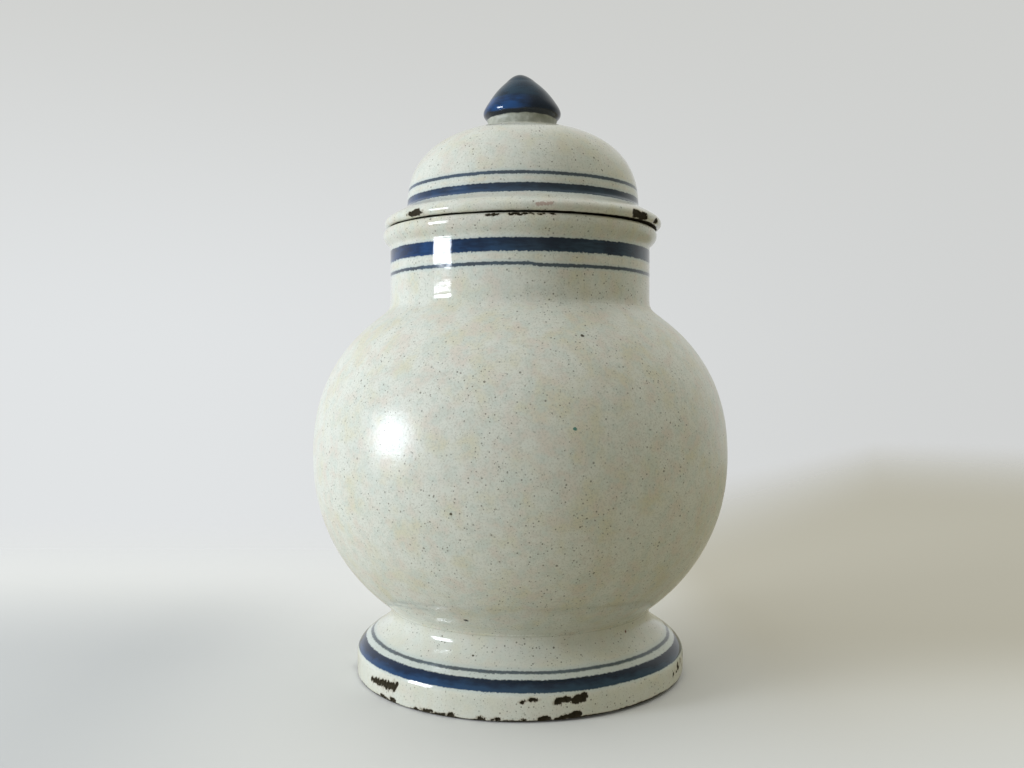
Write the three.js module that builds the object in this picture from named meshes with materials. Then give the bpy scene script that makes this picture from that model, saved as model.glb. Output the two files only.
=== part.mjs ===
// A lidded storage jar of glazed pottery: a globe on a flared, hollow foot, with a straight neck,
// a rolled rim, and a loose domed lid that carries a pointed knob and drops a ring into the mouth.
// Millimetres, +Z up. The origin is the centre of the ring that the foot stands on.

import * as THREE from 'three';

// Making
const aroundSteps = 48; // facets round the turning axis
const slipJoint = 0.3; // layer of slip between two pieces of clay that are stuck together
const seatGap = 0.3; // between the lid and the rim that it rests on

// Foot
const footRadius = 68.8;
const footEdge = 8.2; // height of the foot's upright edge
const footHeight = 26.3;
const waistRadius = 54.6; // narrowest place, right under the globe
const waistUpright = 1.3; // height of the upright part of the waist
const footWall = 10; // clay at the waist
const restRing = 8.5; // width of the flat ring that stands on the table
const footEdgeRound = 0.9;
const flareEase = 7.4; // how far the flare runs upright at each of its ends

// Globe
const bellyRadius = 86.6;
const bellyDrop = 61.8; // from the widest place down to the base's rounded edge
const bellyDropPower = 2.1; // 2 is an ellipse, and more is squarer
const shoulderRise = 58.2; // from the widest place up to the neck's foot
const shoulderPower = 2.25;
const baseOverhang = 1.2; // how far the globe's base stands out over the waist
const baseEdgeRound = 1.6;
const wall = 6; // clay of the globe and the neck
const floorThickness = 8;
const floorRound = 11; // rounding between the floor and the wall inside
const mouthLip = 2; // height of the upright edge of the globe's mouth, under the neck

// Neck
const neckRadius = 54.7;
const neckHeight = 35.1;
const neckFlare = 3; // fillet where the neck meets the shoulder
const rimProud = 2.9; // how far the rolled rim stands out from the neck
const rimRoll = 7.8; // height of the roll
const rimNose = 2.6; // depth of the roll's widest place under the rim's top
const rimInnerRound = 2;

// Lid
const lidShift = 1.2; // the loose lid lies this far off centre in its play
const flangeProud = 0.6; // how far the lid's flange reaches past the rim
const flangeWidth = 9.4; // from the dome out to the flange's nose
const flangeRise = 9.7; // from the flange's underside up to where the dome stands free
const noseRound = 3; // inward reach of the rounding at the nose
const noseRise = 2.1; // height of the nose over the flange's underside
const domeSpring = 8.1; // height at which the dome starts to close in
const domeRise = 35; // of the dome's curve, if it ran on to the axis
const domePower = 2.5;
const lidWall = 6;

// Ring under the lid that keeps it in the mouth
const collarDepth = 12;
const collarWall = 4.6;
const collarPlay = 2.1; // radial clearance in the mouth
const collarRound = 1.2;

// Knob
const knobSeat = 15.5; // radius of the flat on the dome that the knob stands on
const stemRadius = 14.5;
const stemHeight = 2.8; // up to the narrowest place
const knobRadius = 16.4;
const knobWiden = 4.1; // from the narrowest place up to the widest
const knobCone = 16.6; // from the widest place up to the tip
const knobEdge = 3.8; // height of the rounding over the widest place
const knobEdgeInset = 2.3; // how far the rounding has come in at its top
const knobSwell = 0.5; // how far the flank swells out past a straight cone
const tipRadius = 6.7; // where the cone starts to round off
const tipHeight = 3.7;
const tipBlunt = 3; // radius at which the tip's rounding turns level

// Places that follow from the sizes
const baseHeight = footHeight + slipJoint;
const baseRadius = waistRadius + baseOverhang;
const bellyHeight = baseHeight + baseEdgeRound + bellyDrop;
const neckFootRadius = neckRadius + neckFlare;
const shoulderHeight = bellyHeight + shoulderRise;
const neckStart = shoulderHeight + slipJoint;
const rimHeight = neckStart + neckHeight;
const rimRadius = neckRadius + rimProud;
const mouthRadius = neckRadius - wall;
const lidStart = rimHeight + seatGap;
const flangeRadius = rimRadius + flangeProud;
const domeRadius = flangeRadius - flangeWidth;
const domeStart = lidStart + domeSpring;
const collarRadius = mouthRadius - collarPlay;

const at = (radius, height) => new THREE.Vector2(radius, height);

const rounding = (start, corner, end, steps = 3) =>
  new THREE.QuadraticBezierCurve(start, corner, end).getPoints(steps);

const sweep = (start, leaving, arriving, end, steps = 5) =>
  new THREE.CubicBezierCurve(start, leaving, arriving, end).getPoints(steps);

// Height over the widest place at which a superellipse has narrowed to a radius.
function heightAtRadius(bulge, radius) {
  return bulge.rise * (1 - (radius / bulge.radius) ** bulge.power) ** (1 / bulge.power);
}

// Radius of a superellipse at a height over, or under, its widest place.
function radiusAtHeight(bulge, height) {
  return bulge.radius * (1 - (Math.abs(height) / bulge.rise) ** bulge.power) ** (1 / bulge.power);
}

// A superellipse of this radius that has narrowed to endRadius at endHeight.
function bulgeThrough(radius, power, endRadius, endHeight) {
  const rise = endHeight / (1 - (endRadius / radius) ** power) ** (1 / power);
  return { radius, rise, power };
}

// The same superellipse, with a wall's thickness taken off it.
function hollowOf(bulge, thickness) {
  return { radius: bulge.radius - thickness, rise: bulge.rise - thickness, power: bulge.power };
}

// Points from the widest place at height middle to endRadius, upwards (side 1) or downwards (side -1).
function bulgePoints(bulge, middle, side, endRadius, steps) {
  const lastAngle = Math.acos((endRadius / bulge.radius) ** (bulge.power / 2));
  const points = [];
  for (let step = 0; step <= steps; step += 1) {
    const angle = (lastAngle * step) / steps;
    const radius = bulge.radius * Math.cos(angle) ** (2 / bulge.power);
    const rise = bulge.rise * Math.sin(angle) ** (2 / bulge.power);
    points.push(at(radius, middle + side * rise));
  }
  return points;
}

// Turns a profile of radius and height about the Z axis. The clay lies to the left of its direction.
function turned(name, material, profile) {
  const points = profile.filter((point, index) => index === 0 || point.distanceTo(profile[index - 1]) > 1e-4);
  const geometry = new THREE.LatheGeometry(points, aroundSteps);
  geometry.rotateX(Math.PI / 2);
  const mesh = new THREE.Mesh(geometry, material);
  mesh.name = name;
  return mesh;
}

const closed = (points) => [...points, points[0].clone()];

const dropBulge = bulgeThrough(bellyRadius, bellyDropPower, baseRadius, bellyDrop);
const shoulderBulge = bulgeThrough(bellyRadius, shoulderPower, neckFootRadius, shoulderRise);
const domeBulge = { radius: domeRadius, rise: domeRise, power: domePower };

function foot(material) {
  const restOuter = footRadius - footEdgeRound;
  const restInner = restOuter - restRing;
  const innerTop = waistRadius - footWall;
  const flareTop = footHeight - waistUpright;
  return turned('foot', material, closed([
    at(restInner, 0),
    ...rounding(at(restOuter, 0), at(footRadius, 0), at(footRadius, footEdgeRound)),
    ...sweep(
      at(footRadius, footEdge),
      at(footRadius, footEdge + flareEase),
      at(waistRadius, flareTop - flareEase),
      at(waistRadius, flareTop),
      10,
    ),
    at(waistRadius, footHeight),
    at(innerTop, footHeight),
    ...sweep(
      at(innerTop, flareTop),
      at(innerTop, flareTop - flareEase),
      at(restInner - footEdgeRound, footEdge + flareEase),
      at(restInner - footEdgeRound, footEdgeRound),
      6,
    ),
  ]));
}

function body(material) {
  const floorTop = baseHeight + floorThickness;
  const hollowDrop = hollowOf(dropBulge, wall);
  const lipHeight = shoulderRise - mouthLip;
  const hollowShoulder = bulgeThrough(bellyRadius - wall, shoulderPower, mouthRadius, lipHeight);
  const floorCorner = at(radiusAtHeight(hollowDrop, bellyHeight - floorTop), floorTop);
  const wallFoot = floorTop + floorRound;
  const wallFootRadius = radiusAtHeight(hollowDrop, bellyHeight - wallFoot);
  return turned('body', material, [
    at(0, baseHeight),
    ...rounding(
      at(baseRadius - baseEdgeRound, baseHeight),
      at(baseRadius, baseHeight),
      at(baseRadius, baseHeight + baseEdgeRound),
    ),
    ...bulgePoints(dropBulge, bellyHeight, -1, baseRadius, 9).reverse(),
    ...bulgePoints(shoulderBulge, bellyHeight, 1, neckFootRadius, 9),
    at(mouthRadius, shoulderHeight),
    ...bulgePoints(hollowShoulder, bellyHeight, 1, mouthRadius, 8).reverse(),
    ...bulgePoints(hollowDrop, bellyHeight, -1, wallFootRadius, 7),
    ...rounding(at(wallFootRadius, wallFoot), floorCorner, at(floorCorner.x - floorRound, floorTop), 4),
    at(0, floorTop),
  ]);
}

function neck(material) {
  const rollStart = rimHeight - rimRoll;
  const rollNose = rimHeight - rimNose;
  const topOuter = rimRadius - rimProud;
  return turned('neck', material, closed([
    at(mouthRadius, neckStart),
    ...rounding(
      at(neckFootRadius, neckStart),
      at(neckRadius, neckStart + neckFlare / 4),
      at(neckRadius, neckStart + neckFlare),
      4,
    ),
    ...sweep(
      at(neckRadius, rollStart),
      at(neckRadius, rollStart + rimProud / 2),
      at(rimRadius, rollNose - rimProud),
      at(rimRadius, rollNose),
    ),
    ...rounding(at(rimRadius, rollNose), at(rimRadius, rimHeight), at(topOuter, rimHeight), 4),
    ...rounding(
      at(mouthRadius + rimInnerRound, rimHeight),
      at(mouthRadius, rimHeight),
      at(mouthRadius, rimHeight - rimInnerRound),
    ),
  ]));
}

function lid(material) {
  const hollowDome = hollowOf(domeBulge, lidWall);
  const noseHeight = lidStart + noseRise;
  const flangeTop = lidStart + flangeRise;
  const domeFootRadius = radiusAtHeight(domeBulge, flangeTop - domeStart);
  const domePoints = bulgePoints(domeBulge, domeStart, 1, knobSeat, 12);
  return turned('lid', material, [
    ...bulgePoints(hollowDome, domeStart, 1, 0, 9).reverse(),
    at(hollowDome.radius, lidStart),
    ...rounding(
      at(flangeRadius - noseRound, lidStart),
      at(flangeRadius, lidStart),
      at(flangeRadius, noseHeight),
    ),
    ...sweep(
      at(flangeRadius, noseHeight),
      at(flangeRadius, noseHeight + noseRound),
      at(domeFootRadius + noseRound / 2, flangeTop - noseRound),
      at(domeFootRadius, flangeTop),
      7,
    ),
    ...domePoints.filter((point) => point.y > flangeTop),
    at(0, domePoints[domePoints.length - 1].y),
  ]);
}

function lidCollar(material) {
  const top = lidStart - slipJoint;
  const bottom = top - collarDepth;
  const inner = collarRadius - collarWall;
  return turned('lid_collar', material, closed([
    at(inner, bottom + collarRound),
    ...rounding(at(inner, bottom + collarRound), at(inner, bottom), at(inner + collarRound, bottom)),
    ...rounding(
      at(collarRadius - collarRound, bottom),
      at(collarRadius, bottom),
      at(collarRadius, bottom + collarRound),
    ),
    at(collarRadius, top),
    at(inner, top),
  ]));
}

function knob(material) {
  const bottom = domeStart + heightAtRadius(domeBulge, knobSeat) + slipJoint;
  const narrow = bottom + stemHeight;
  const widest = narrow + knobWiden;
  const tip = widest + knobCone;
  const coneStart = at(knobRadius - knobEdgeInset, widest + knobEdge);
  const coneEnd = at(tipRadius, tip - tipHeight);
  const flank = coneStart.clone().add(coneEnd).divideScalar(2).addScalar(knobSwell);
  return turned('knob', material, [
    at(0, bottom),
    ...rounding(at(knobSeat, bottom), at(stemRadius, bottom + stemHeight / 3), at(stemRadius, narrow)),
    ...sweep(
      at(stemRadius, narrow),
      at(stemRadius, narrow + knobWiden / 2),
      at(knobRadius, widest - knobWiden / 2),
      at(knobRadius, widest),
      4,
    ),
    ...rounding(at(knobRadius, widest), at(knobRadius, widest + knobEdge / 3), coneStart, 4),
    ...rounding(coneStart, flank, coneEnd, 4),
    ...rounding(coneEnd, at(tipBlunt, tip), at(0, tip), 4),
  ]);
}

const whiteGlaze = new THREE.MeshStandardMaterial({ color: 0xcfd1c5, roughness: 0.22, metalness: 0 });
const blueGlaze = new THREE.MeshStandardMaterial({ color: 0x1c2745, roughness: 0.25, metalness: 0 });
const bareClay = new THREE.MeshStandardMaterial({ color: 0x4f3f34, roughness: 0.85, metalness: 0 });

const jar = new THREE.Group();
jar.add(foot(whiteGlaze), body(whiteGlaze), neck(whiteGlaze));

const looseLid = new THREE.Group();
looseLid.position.x = lidShift;
looseLid.add(lid(whiteGlaze), lidCollar(bareClay), knob(blueGlaze));

const storageJar = new THREE.Group();
storageJar.add(jar, looseLid);

export default storageJar;
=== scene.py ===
"""Looks of a lidded storage jar of glazed pottery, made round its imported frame.

Drawing sizes are in millimetres and become metres when a mesh is made. Angles are degrees round the
jar, 0 towards the viewer and 90 to the viewer's right. Each piece is turned from a profile, then worn
and chipped. Glaze, brushed bands and bare clay are procedural.
"""

import math
import random
from collections import namedtuple

import bpy
import numpy as np
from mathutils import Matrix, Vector, noise


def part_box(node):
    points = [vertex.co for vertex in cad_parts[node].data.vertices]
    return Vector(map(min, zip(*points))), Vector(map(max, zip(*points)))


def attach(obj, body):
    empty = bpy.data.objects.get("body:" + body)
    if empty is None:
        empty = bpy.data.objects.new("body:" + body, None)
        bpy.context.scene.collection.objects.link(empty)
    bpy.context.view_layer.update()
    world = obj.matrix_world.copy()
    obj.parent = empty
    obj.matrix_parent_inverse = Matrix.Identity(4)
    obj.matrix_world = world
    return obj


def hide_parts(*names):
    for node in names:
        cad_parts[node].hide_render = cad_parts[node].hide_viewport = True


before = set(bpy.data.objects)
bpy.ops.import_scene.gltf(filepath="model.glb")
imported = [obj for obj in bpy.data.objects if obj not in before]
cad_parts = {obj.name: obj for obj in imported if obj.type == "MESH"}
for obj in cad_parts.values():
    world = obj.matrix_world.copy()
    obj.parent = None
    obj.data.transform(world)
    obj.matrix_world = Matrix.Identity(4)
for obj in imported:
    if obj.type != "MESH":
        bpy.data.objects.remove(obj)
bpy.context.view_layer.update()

MM = 0.001


def span(node, axis):
    """Lowest and highest place of a frame node along an axis, in millimetres."""
    low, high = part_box(node)
    return low[axis] / MM, high[axis] / MM


def outer_radius(node):
    low, high = span(node, 0)
    return (high - low) / 2


# Sizes read from the frame
FOOT_RADIUS = outer_radius("foot")
FOOT_HEIGHT = span("foot", 2)[1]
BELLY_RADIUS = outer_radius("body")
BASE_HEIGHT, SHOULDER_HEIGHT = span("body", 2)
RIM_HEIGHT = span("neck", 2)[1]
LID_START, SEAT_HEIGHT = span("lid", 2)
LID_SHIFT = sum(span("lid", 0)) / 2
FLANGE_RADIUS = outer_radius("lid")
COLLAR_RADIUS = outer_radius("lid_collar")
COLLAR_BOTTOM = span("lid_collar", 2)[0]
KNOB_RADIUS = outer_radius("knob")
KNOB_TIP = span("knob", 2)[1]

# Foot
FOOT_EDGE = 8.2
WAIST_RADIUS = 54.6
WAIST_UPRIGHT = 1.3
FOOT_WALL = 10
REST_RING = 8.5
FOOT_EDGE_ROUND = 0.9
FLARE_EASE = 7.4
FOOT_FILLET = 1.1
FOOT_LAP = 3.0
FOOT_BARE_INSIDE = 4
FOOT_BARE_OUTSIDE = 0.35

# Globe
BASE_RADIUS = WAIST_RADIUS + 1.2
BASE_EDGE_ROUND = 1.6
BELLY_DROP = 61.8
BELLY_DROP_POWER = 2.1
SHOULDER_POWER = 2.25
WALL = 6
FLOOR_THICKNESS = 8
FLOOR_ROUND = 11
MOUTH_LIP = 2

# Neck
NECK_RADIUS = 54.7
NECK_FLARE = 3
NECK_FILLET = 1.7
NECK_LAP = 2.8
NECK_FILLET_TOP = 9
RIM_PROUD = 2.9
RIM_ROLL = 7.8
RIM_NOSE = 2.6
RIM_INNER_ROUND = 2

# Lid
FLANGE_WIDTH = 9.4
FLANGE_RISE = 9.7
NOSE_ROUND = 3
NOSE_RISE = 2.1
DOME_SPRING = 8.1
DOME_RISE = 35
DOME_POWER = 2.5
LID_WALL = 6
# Bare seat under the lid: real wiped clay, carried out onto the nose's rounding as painted shade of the
# gap over the rim.
SEAT_BARE_AND_GAP_SHADE = 1.4
COLLAR_WALL = 4.6
COLLAR_ROUND = 1.2

# Knob
KNOB_SEAT = 15.5
STEM_RADIUS = 14.5
STEM_HEIGHT = 2.8
KNOB_WIDEN = 4.1
KNOB_CONE = 16.6
KNOB_EDGE = 3.8
KNOB_EDGE_INSET = 1.7
KNOB_SWELL = 0.7
TIP_RADIUS = 6.7
TIP_HEIGHT = 3.7
TIP_BLUNT = 3
TIP_EVEN = 2

# Hand work: slip that laps over the joints and fills them, and how far from true the turning is. The
# foot's edge rises to the right, and the knob stands a little aside and leans.
JOINT_LAP = 0.6
JOINT_TUCK = 0.07
JOINT_TUCK_RUN = 2
OUT_OF_ROUND = 0.003
OVAL_TURN = 0.7
FOOT_RISE = 1.3
FOOT_RISE_FADE = 9
FOOT_RISE_FROM = -25
FOOT_RISE_TO = 200
FOOT_RISE_RUN = 100
KNOB_ASIDE = -0.25
KNOB_LEAN = -0.95
KNOB_LEAN_POWER = 2.5
KNOB_UNEVEN = 0.1
COLLAR_UNEVEN = 0.12
OUTER_RIDGE = 0.012
OUTER_RIDGE_PITCH = 5.5
OUTER_RIDGE_FADE = 12
INNER_RIDGE = 0.3
INNER_RIDGE_PITCH = 7.5
INNER_RIDGE_FADE = 4
INNER_RIDGE_CENTRE = 15

# Glaze and wear: how deep bare places and chips lie, how soft their steps are and how ragged their
# edges. What stands on the table stays where it is.
GLAZE_IOR = 1.5
GLAZE_THICKNESS = 0.2
BARE_STEP = 0.4
BARE_RAGGED = 0.3
BARE_WANDER = 0.4
CHIP_DEPTH = 0.6
CHIP_STEP = 0.6
CHIP_STEP_START = 0.15
FOOT_CHIP_RAGGED = 0.45
RIM_CHIP_RAGGED = 0.2
LID_CHIP_RAGGED = 0.35
FARTHEST_WEAR = 3.0
FACING_OUT = 0.05
FACING_DOWN = 0.5
FACING_DOWN_RUN = 0.4
TABLE_NEAR = 1

# Mesh: columns round each piece, for some in front and behind, and rows of its profile
FOOT_COLUMNS = (520, 280)
RIM_COLUMNS = (430, 170)
GLOBE_COLUMNS = 288
COLLAR_COLUMNS = 192
KNOB_COLUMNS = 160
CLOSEST_ROWS = 0.05
CORNER_BESIDE = 0.06
CORNER_ROOM = 4 * CORNER_BESIDE
CORNER_COSINE = 0.8
HALF_FRONT = 85

# Places that follow
BELLY_HEIGHT = BASE_HEIGHT + BASE_EDGE_ROUND + BELLY_DROP
SHOULDER_RISE = SHOULDER_HEIGHT - BELLY_HEIGHT
NECK_FOOT_RADIUS = NECK_RADIUS + NECK_FLARE
MOUTH_RADIUS = NECK_RADIUS - WALL
RIM_RADIUS = NECK_RADIUS + RIM_PROUD
DOME_START = LID_START + DOME_SPRING
DOME_RADIUS = FLANGE_RADIUS - FLANGE_WIDTH
KNOB_WIDEST = KNOB_TIP - KNOB_CONE
KNOB_NARROW = KNOB_WIDEST - KNOB_WIDEN

Bulge = namedtuple("Bulge", "radius rise power")
Chip = namedtuple("Chip", "angle height width tall lean", defaults=[0.0])
Band = namedtuple("Band", "low high start slip ragged weight settle royal")
Spot = namedtuple("Spot", "angle radius height size colour")
Patch = namedtuple("Patch", "colour size seed share")
SpeckKind = namedtuple("SpeckKind", "cell least most share faint strong colour")
Glaze = namedtuple("Glaze", "roughness peel mottle speckle")


def bulge_through(radius, power, end_radius, end_height):
    """A superellipse of this radius that has narrowed to end_radius at end_height."""
    return Bulge(radius, end_height / (1 - (end_radius / radius) ** power) ** (1 / power), power)


def hollow_of(bulge, thickness):
    return Bulge(bulge.radius - thickness, bulge.rise - thickness, bulge.power)


def radius_at(bulge, height):
    return bulge.radius * (1 - (abs(height) / bulge.rise) ** bulge.power) ** (1 / bulge.power)


def bulge_points(step, bulge, middle, side, end_radius):
    """Points from the widest place, at the middle height, up (side 1) or down (side -1) to end_radius."""
    last = math.acos((end_radius / bulge.radius) ** (bulge.power / 2))
    count = math.ceil(last * (bulge.radius + bulge.rise) / 2 / step)
    angle = np.linspace(0, last, count + 1)
    radius = bulge.radius * np.cos(angle) ** (2 / bulge.power)
    rise = bulge.rise * np.sin(angle) ** (2 / bulge.power)
    return np.column_stack([radius, middle + side * rise])


def bezier(step, *corners):
    """Points of a Bezier curve, about a step apart. Two corners make a straight line."""
    layer = [np.array(corner, float) for corner in corners]
    length = sum(np.linalg.norm(end - start) for start, end in zip(layer, layer[1:]))
    share = np.linspace(0, 1, max(2, math.ceil(length / step)) + 1)[:, None]
    while len(layer) > 1:
        layer = [start * (1 - share) + end * share for start, end in zip(layer, layer[1:])]
    return layer[0]


def with_crisp_corners(points, closed):
    """Adds a row close before and after each sharp corner, so that smooth shading stays off the flats."""
    rows = []
    for i, point in enumerate(points):
        arriving = point - points[i - 1]
        leaving = points[(i + 1) % len(points)] - point
        before = np.linalg.norm(arriving)
        after = np.linalg.norm(leaving)
        inner = closed or 0 < i < len(points) - 1
        sharp = arriving @ leaving < CORNER_COSINE * before * after
        if inner and sharp and min(before, after) > CORNER_ROOM:
            rows.append(point - arriving * CORNER_BESIDE / before)
            rows.append(point)
            rows.append(point + leaving * CORNER_BESIDE / after)
        else:
            rows.append(point)
    return np.array(rows)


def filleted(step, bulge, radius, ease, wall_end, lap_end):
    """Points of an upright wall of this radius that runs over into the bulge, from wall_end to lap_end.

    The ease is about how far the fillet stands off the corner. It dips just under the bulge at lap_end.
    """
    count = math.ceil(abs(lap_end - wall_end) / step)
    height = np.linspace(wall_end, lap_end, count + 1)
    over = (radius_at(bulge, height - BELLY_HEIGHT) - radius) / ease
    tuck = JOINT_TUCK * smooth(1 - np.abs(height - lap_end) / JOINT_TUCK_RUN)
    return np.column_stack([radius + ease * np.log1p(np.exp(over)) - tuck, height])


def smooth(values):
    """Eased step from 0 to 1 as the values go from 0 to 1."""
    values = np.clip(values, 0, 1)
    return values * values * (3 - 2 * values)


def evenly(count):
    return np.arange(count) * 360 / count - 180


def closer_in_front(front_count, back_count):
    """Angles round the jar that lie closer together on the side that faces the viewer."""
    front = np.linspace(-HALF_FRONT, HALF_FRONT, front_count, endpoint=False)
    back = np.linspace(HALF_FRONT, 360 - HALF_FRONT, back_count, endpoint=False)
    return np.concatenate([front, back])


class Turning:
    """A piece turned about an upright axis.

    Rows follow its profile, with the clay on the left, and columns go round it.
    """

    def __init__(self, angles, *stretches):
        points = np.concatenate(stretches)
        apart = np.linalg.norm(np.diff(points, axis=0), axis=1) > CLOSEST_ROWS
        points = points[np.concatenate([[True], apart])]
        self.closed = points[0, 0] > 0
        if self.closed and np.linalg.norm(points[0] - points[-1]) < CLOSEST_ROWS:
            points = points[:-1]
        points = with_crisp_corners(points, self.closed)
        self.radius = points[:, :1]
        self.height = points[:, 1:]
        self.angle = angles[None, :]
        steps = np.linalg.norm(np.diff(points, axis=0), axis=1)
        self.along = np.concatenate([[0], np.cumsum(steps)])[:, None]
        if self.closed:
            ahead = np.roll(points, -1, axis=0) - np.roll(points, 1, axis=0)
        else:
            ahead = np.gradient(points, axis=0)
        ahead /= np.linalg.norm(ahead, axis=1)[:, None]
        self.outward = ahead[:, 1:]
        self.upward = -ahead[:, :1]
        shape = (len(points), len(angles))
        self.ridges = np.zeros(shape)
        self.chips = np.full(shape, -FARTHEST_WEAR)
        self.bare = np.full(shape, -FARTHEST_WEAR)

    def grain(self, size, seed=0.0):
        """Smooth noise from -1 to 1 over the surface, with lumps of about this size."""
        turn = np.radians(self.angle)
        places = (self.radius * np.sin(turn), self.radius * np.cos(turn), self.height + 0 * turn)
        x, y, z = (part.ravel() / size + seed for part in places)
        values = [noise.noise(Vector(place)) for place in zip(x, y, z)]
        return np.array(values).reshape(self.ridges.shape)

    def along_at(self, radius, height):
        """Distance along the profile of the row nearest to a place on it."""
        return self.along[np.argmin(np.hypot(self.radius - radius, self.height - height)), 0]

    def mark_inside(self, start, end):
        """Spiral marks of the potter's fingers on a stretch of the profile, fading out at its ends."""
        within = np.minimum(self.along - self.along_at(*start), self.along_at(*end) - self.along)
        wave = np.sin(2 * np.pi * (self.along / INNER_RIDGE_PITCH + self.angle / 360))
        ridge = INNER_RIDGE * wave * smooth(within / INNER_RIDGE_FADE)
        self.ridges += ridge * smooth(self.radius / INNER_RIDGE_CENTRE)

    def mark_outside(self, low, high):
        """Faint spiral marks between two heights on the outside, fading out at both."""
        wave = np.sin(2 * np.pi * (self.height / OUTER_RIDGE_PITCH + self.angle / 360)) - 1
        rise = smooth((self.height - low) / OUTER_RIDGE_FADE)
        fall = smooth((high - self.height) / OUTER_RIDGE_FADE)
        self.ridges += OUTER_RIDGE * wave * (rise * fall) * (self.outward > 0)

    def break_off(self, chips, ragged):
        """Chips on the outside, as a field in millimetres that is above 0 where the glaze is gone."""
        for chip in chips:
            distance = np.where(self.outward > FACING_OUT, np.abs(self.height - chip.height), np.inf)
            row = np.argmin(distance)
            up = self.along - self.along[row, 0]
            turned = (self.angle - chip.angle + 180) % 360 - 180
            across = np.radians(turned) * self.radius[row, 0] + chip.lean * up
            reach = np.hypot(across / (chip.width / 2), up / (chip.tall / 2))
            field = (1 - reach) * min(chip.width, chip.tall) / 2
            self.chips = np.maximum(self.chips, field + ragged)

    def leave_bare(self, start, end, ragged):
        """A stretch of the profile that was left without glaze."""
        inside = np.minimum(self.along - self.along_at(*start), self.along_at(*end) - self.along)
        self.bare = np.maximum(self.bare, inside + ragged)

    def piece(self, name, shift=0.0, lean=0.0, raised=0.0):
        """The finished mesh object. Places without glaze lie deeper, and chips deeper still."""
        depth = GLAZE_THICKNESS * smooth(self.bare / BARE_STEP + 0.5)
        depth = np.maximum(depth, CHIP_DEPTH * smooth(self.chips / CHIP_STEP + CHIP_STEP_START))
        standing = smooth((-self.upward - FACING_DOWN) / FACING_DOWN_RUN) * (self.height < TABLE_NEAR)
        push = self.ridges - depth * (1 - standing)
        turn = np.radians(self.angle)
        oval = 1 - OUT_OF_ROUND * (0.5 - 0.5 * np.cos(2 * turn - OVAL_TURN))
        radius = self.radius * oval + self.outward * push
        height = self.height + self.upward * push + raised
        leaning = lean * np.clip((height - KNOB_WIDEST) / KNOB_CONE, 0, 1) ** KNOB_LEAN_POWER
        x = radius * np.sin(turn) + shift + leaning
        y = -radius * np.cos(turn)
        return self.mesh(name, np.stack([x, y, height], axis=-1) * MM)

    def mesh(self, name, places):
        """A closed mesh of the rows of places, capped at the axis where the profile reaches it."""
        wear = np.clip(np.maximum(self.chips, self.bare), -FARTHEST_WEAR, FARTHEST_WEAR)
        outside = np.broadcast_to(self.outward > 0, wear.shape).astype(float)
        rings = slice(None) if self.closed else slice(1, -1)
        vertices = places[rings].reshape(-1, 3).tolist()
        values = {"wear": wear[rings].ravel().tolist(), "outside": outside[rings].ravel().tolist()}
        index = np.arange(len(vertices)).reshape(-1, places.shape[1])
        lower, upper = index[:-1], index[1:]
        if self.closed:
            lower, upper = index, np.roll(index, -1, axis=0)
        quads = np.stack([lower, np.roll(lower, -1, 1), np.roll(upper, -1, 1), upper], axis=-1)
        faces = quads.reshape(-1, 4).tolist()
        if not self.closed:
            for row, ring in ((0, index[0][::-1]), (-1, index[-1])):
                pole = len(vertices)
                vertices.append(places[row].mean(axis=0).tolist())
                values["wear"].append(float(wear[row].mean()))
                values["outside"].append(float(outside[row].mean()))
                faces += [(pole, *pair) for pair in zip(ring.tolist(), np.roll(ring, -1).tolist())]
        data = bpy.data.meshes.new(name)
        data.from_pydata(vertices, [], faces)
        for attribute, numbers in values.items():
            data.attributes.new(attribute, "FLOAT", "POINT").data.foreach_set("value", numbers)
        data.polygons.foreach_set("use_smooth", [True] * len(data.polygons))
        made = bpy.data.objects.new(name, data)
        bpy.context.scene.collection.objects.link(made)
        return made


drop_bulge = bulge_through(BELLY_RADIUS, BELLY_DROP_POWER, BASE_RADIUS, BELLY_DROP)
shoulder_bulge = bulge_through(BELLY_RADIUS, SHOULDER_POWER, NECK_FOOT_RADIUS, SHOULDER_RISE)
dome_bulge = Bulge(DOME_RADIUS, DOME_RISE, DOME_POWER)


def scattered(seed, count, angles, heights, widths, talls):
    """Small chips strewn between two angles, the same at each run."""
    draw = random.Random(seed)
    return [
        Chip(draw.uniform(*angles), draw.uniform(*heights), draw.uniform(*widths), draw.uniform(*talls))
        for _ in range(count)
    ]


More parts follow.
